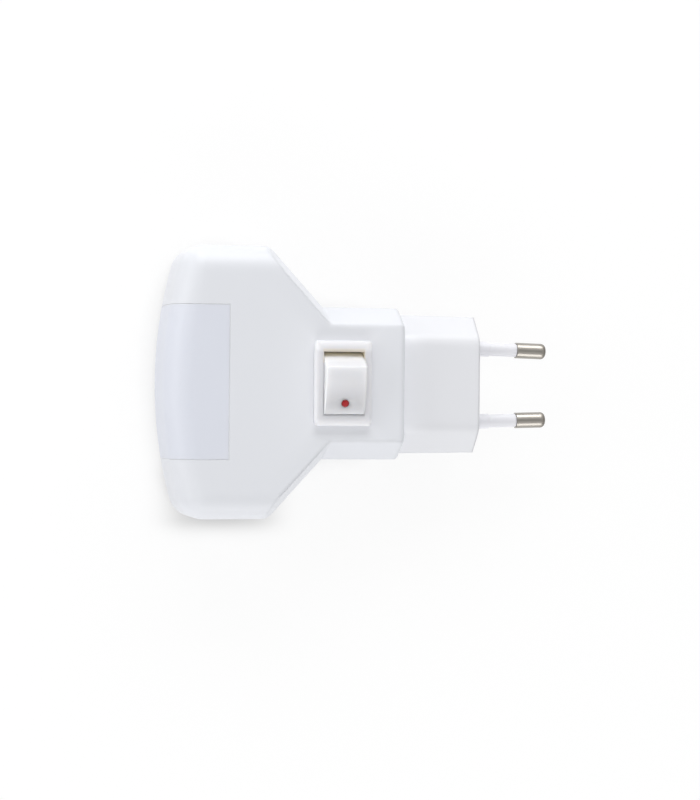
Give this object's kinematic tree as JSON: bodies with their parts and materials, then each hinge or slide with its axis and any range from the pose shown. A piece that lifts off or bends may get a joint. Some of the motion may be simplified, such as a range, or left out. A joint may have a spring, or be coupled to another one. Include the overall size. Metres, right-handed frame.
{
  "type": "plug in night light",
  "caption": "White plug-in night light: flat fan-shaped head with a wrap-round diffuser, a neck with a rocker switch, and a flat Europlug with round sprung pins, built from screwed shells.",
  "frame": {"origin": "centre of the plug's front face, midway between the two pins", "axes": "+Y along the pins, into the wall socket; +Z out of the side with the rocker switch; +X across the head, towards the end of the rocker with the red dot"},
  "size_m": [0.0674, 0.1001, 0.0304],
  "materials": {
    "housing_plastic": "fine satin white moulding",
    "diffuser_plastic": "translucent lavender white, satin",
    "screw_steel": "zinc plated",
    "plug_plastic": "satin white moulding",
    "pin_nickel": "polished nickel plate",
    "sleeve_plastic": "satin white",
    "switch_plastic": "glossy ivory white",
    "rocker_plastic": "glossy ivory white",
    "dot_red": "glossy red",
    "switch_steel": "bright steel",
    "contact_copper": "bright copper alloy",
    "contact_silver": "silver alloy",
    "terminal_brass": "bright brass",
    "reflector_white": "matt white",
    "led_board_white": "white solder mask",
    "led_case": "white",
    "led_phosphor": "yellow silicone",
    "driver_board_green": "green solder mask",
    "film_yellow": "ochre box",
    "can_aluminium": "plain can",
    "can_sleeve_dark": "shrunk sleeve",
    "chip_black": "moulded package",
    "fuse_blue": "lacquered",
    "bleed_tan": "lacquered",
    "wire_brown": "insulated wire",
    "wire_grey": "insulated wire",
    "wire_blue": "insulated wire",
    "wire_red": "insulated wire",
    "wire_black": "insulated wire"
  },
  "bodies": {
    "housing": {"upper_shell": "housing_plastic", "lower_shell": "housing_plastic", "diffuser": "diffuser_plastic", "housing_screws": "screw_steel", "plug_body": "plug_plastic", "live_pin": "pin_nickel", "neutral_pin": "pin_nickel", "live_sleeve": "sleeve_plastic", "neutral_sleeve": "sleeve_plastic", "switch_frame": "switch_plastic", "fixed_rivet": "contact_silver", "common_terminal": "terminal_brass", "switched_terminal": "terminal_brass", "reflector": "reflector_white", "led_board": "led_board_white", "leds": "led_case", "led_lenses": "led_phosphor", "driver_board": "driver_board_green", "film_capacitor": "film_yellow", "smoothing_capacitor": "can_aluminium", "capacitor_sleeve": "can_sleeve_dark", "bridge_rectifier": "chip_black", "fuse_resistor": "fuse_blue", "bleed_resistor": "bleed_tan", "live_wire": "wire_brown", "switched_wire": "wire_grey", "neutral_wire": "wire_blue", "led_wire_plus": "wire_red", "led_wire_minus": "wire_black"},
    "rocker": {"rocker": "rocker_plastic", "red_dot": "dot_red", "plunger_spring": "switch_steel"},
    "plunger": {"rocker_plunger": "switch_steel"},
    "seesaw": {"seesaw_contact": "contact_copper", "moving_rivet": "contact_silver"}
  },
  "joints": [
    {"name": "rocker_tilt", "type": "hinge", "parent": "housing", "child": "rocker", "pos_m": [0, -0.037, 0.0096], "axis": [0, -1, 0], "range_deg": [0, 30]},
    {"name": "contact_tilt", "type": "hinge", "parent": "housing", "child": "seesaw", "pos_m": [0, -0.037, 0.0029], "axis": [0, -1, 0], "range_deg": [-16, 0]},
    {"name": "plunger_slide", "type": "slide", "parent": "rocker", "child": "plunger", "axis": [0.2588, 0, 0.9659], "range_m": [0, 0.0006], "stiffness_N_per_m": 300, "deforming": ["plunger_spring"]}
  ],
  "couplings": [
    {"joint": "contact_tilt", "follows": "rocker_tilt", "ratio": -0.53333}
  ]
}
